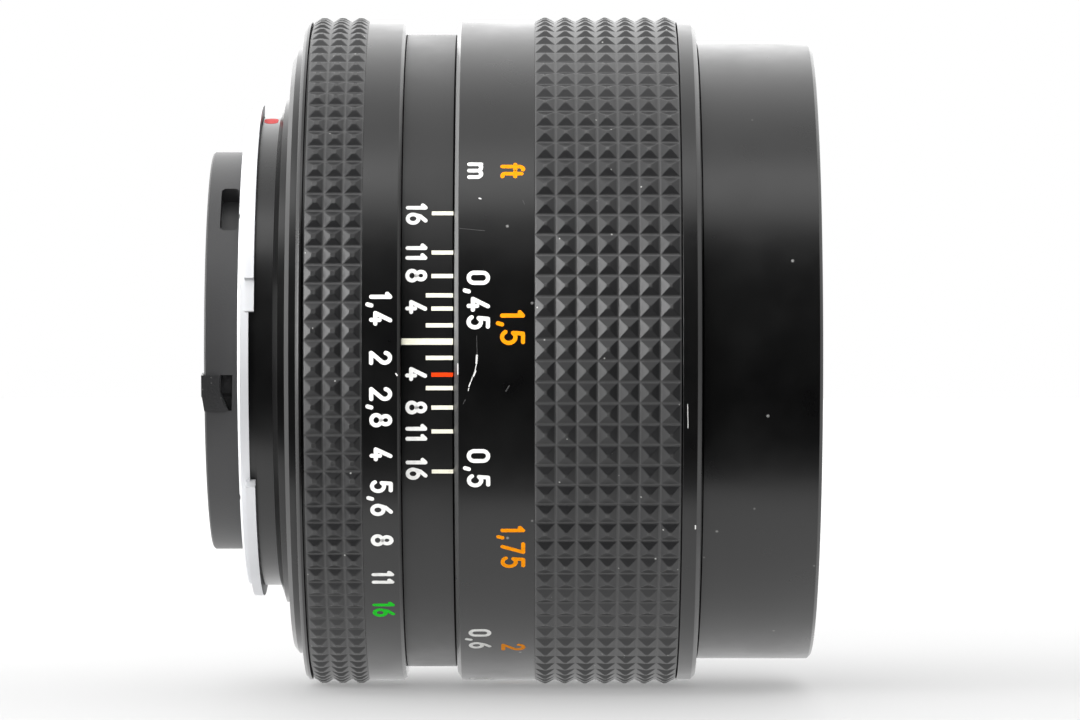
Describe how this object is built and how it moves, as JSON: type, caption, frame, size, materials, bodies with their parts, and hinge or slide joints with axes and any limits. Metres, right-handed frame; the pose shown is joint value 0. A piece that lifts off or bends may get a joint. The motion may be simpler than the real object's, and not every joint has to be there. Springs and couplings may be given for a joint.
{
  "type": "prime camera lens",
  "caption": "Manual-focus fast normal lens with bayonet mount, click-stop aperture ring, pyramid rubber grips, extending front barrel and iris.",
  "frame": {"origin": "centre of the mount register, in the plane of the flange face that seats on the camera", "axes": "+X along the optical axis towards the front glass, -Y to the side that carries the index line and the scales, +Z to the side that carries the red mounting mark"},
  "size_m": [0.0563, 0.0628, 0.0628],
  "materials": {
    "anodised_black": "semi-gloss black anodised",
    "scale_black": "satin black anodised",
    "rubber": "matte moulded rubber",
    "chrome": "satin chrome",
    "shield_black": "satin black paint",
    "lens_glass": "coated optical glass",
    "steel": "bright steel",
    "brass": "plain machined",
    "aluminium": "plain machined",
    "blade_black": "matte black"
  },
  "bodies": {
    "barrel": {"rear_light_shield": "shield_black", "bayonet_ring": "chrome", "bayonet_screws": "steel", "mount_base": "anodised_black", "mount_base_screws": "steel", "lever_keeper_ring": "shield_black", "lever_spring": "steel", "fixed_barrel": "anodised_black", "click_ball": "steel", "click_spring": "steel", "depth_scale_ring": "scale_black", "depth_ring_screws": "steel", "focus_stop_pin": "steel", "guide_keys": "brass", "guide_key_screws": "steel"},
    "lever": {"stop_down_lever": "shield_black"},
    "aperture": {"aperture_ring": "anodised_black", "aperture_grip": "rubber", "stop_ring": "aluminium", "stop_pins": "steel"},
    "focus": {"focus_ring": "anodised_black", "focus_grip": "rubber", "focus_helicoid": "brass", "focus_helicoid_screws": "steel"},
    "optics": {"front_barrel": "anodised_black", "front_barrel_screws": "steel", "inner_helicoid": "aluminium", "name_ring": "anodised_black", "front_lens_cell": "anodised_black", "front_retainer": "anodised_black", "middle_retainer": "anodised_black", "front_spacer": "anodised_black", "lens_element_1": "lens_glass", "lens_element_2": "lens_glass", "lens_element_3": "lens_glass", "lens_element_4": "lens_glass", "lens_element_5": "lens_glass", "lens_element_6": "lens_glass", "lens_element_7": "lens_glass", "rear_lens_cell": "anodised_black", "cell_screws": "steel", "rear_spacer_1": "anodised_black", "rear_spacer_2": "anodised_black", "rear_retainer": "anodised_black", "iris_housing": "shield_black", "iris_cover": "shield_black", "iris_drive_ring": "blade_black", "iris_blade_1": "blade_black", "iris_blade_2": "blade_black", "iris_blade_3": "blade_black", "iris_blade_4": "blade_black", "iris_blade_5": "blade_black", "iris_blade_6": "blade_black"}
  },
  "joints": [
    {"name": "focus_turn", "type": "hinge", "parent": "barrel", "child": "focus", "pos_m": [0.025, 0, 0], "axis": [-1, 0, 0], "range_deg": [-6.8, 208.8]},
    {"name": "focus_slide", "type": "slide", "parent": "barrel", "child": "optics", "axis": [1, 0, 0], "range_m": [-0.0077, 0.0003]},
    {"name": "aperture_turn", "type": "hinge", "parent": "barrel", "child": "aperture", "pos_m": [0.005, 0, 0], "axis": [-1, 0, 0], "range_deg": [-5.4, 50.9]},
    {"name": "lever_turn", "type": "hinge", "parent": "barrel", "child": "lever", "pos_m": [-0.0017, 0, 0], "axis": [-1, 0, 0], "range_deg": [0, 18], "stiffness_Nm_per_rad": 0.01, "springref_deg": -17.19}
  ],
  "couplings": [
    {"joint": "focus_slide", "follows": "focus_turn", "m_per_rad": -0.0020849}
  ]
}
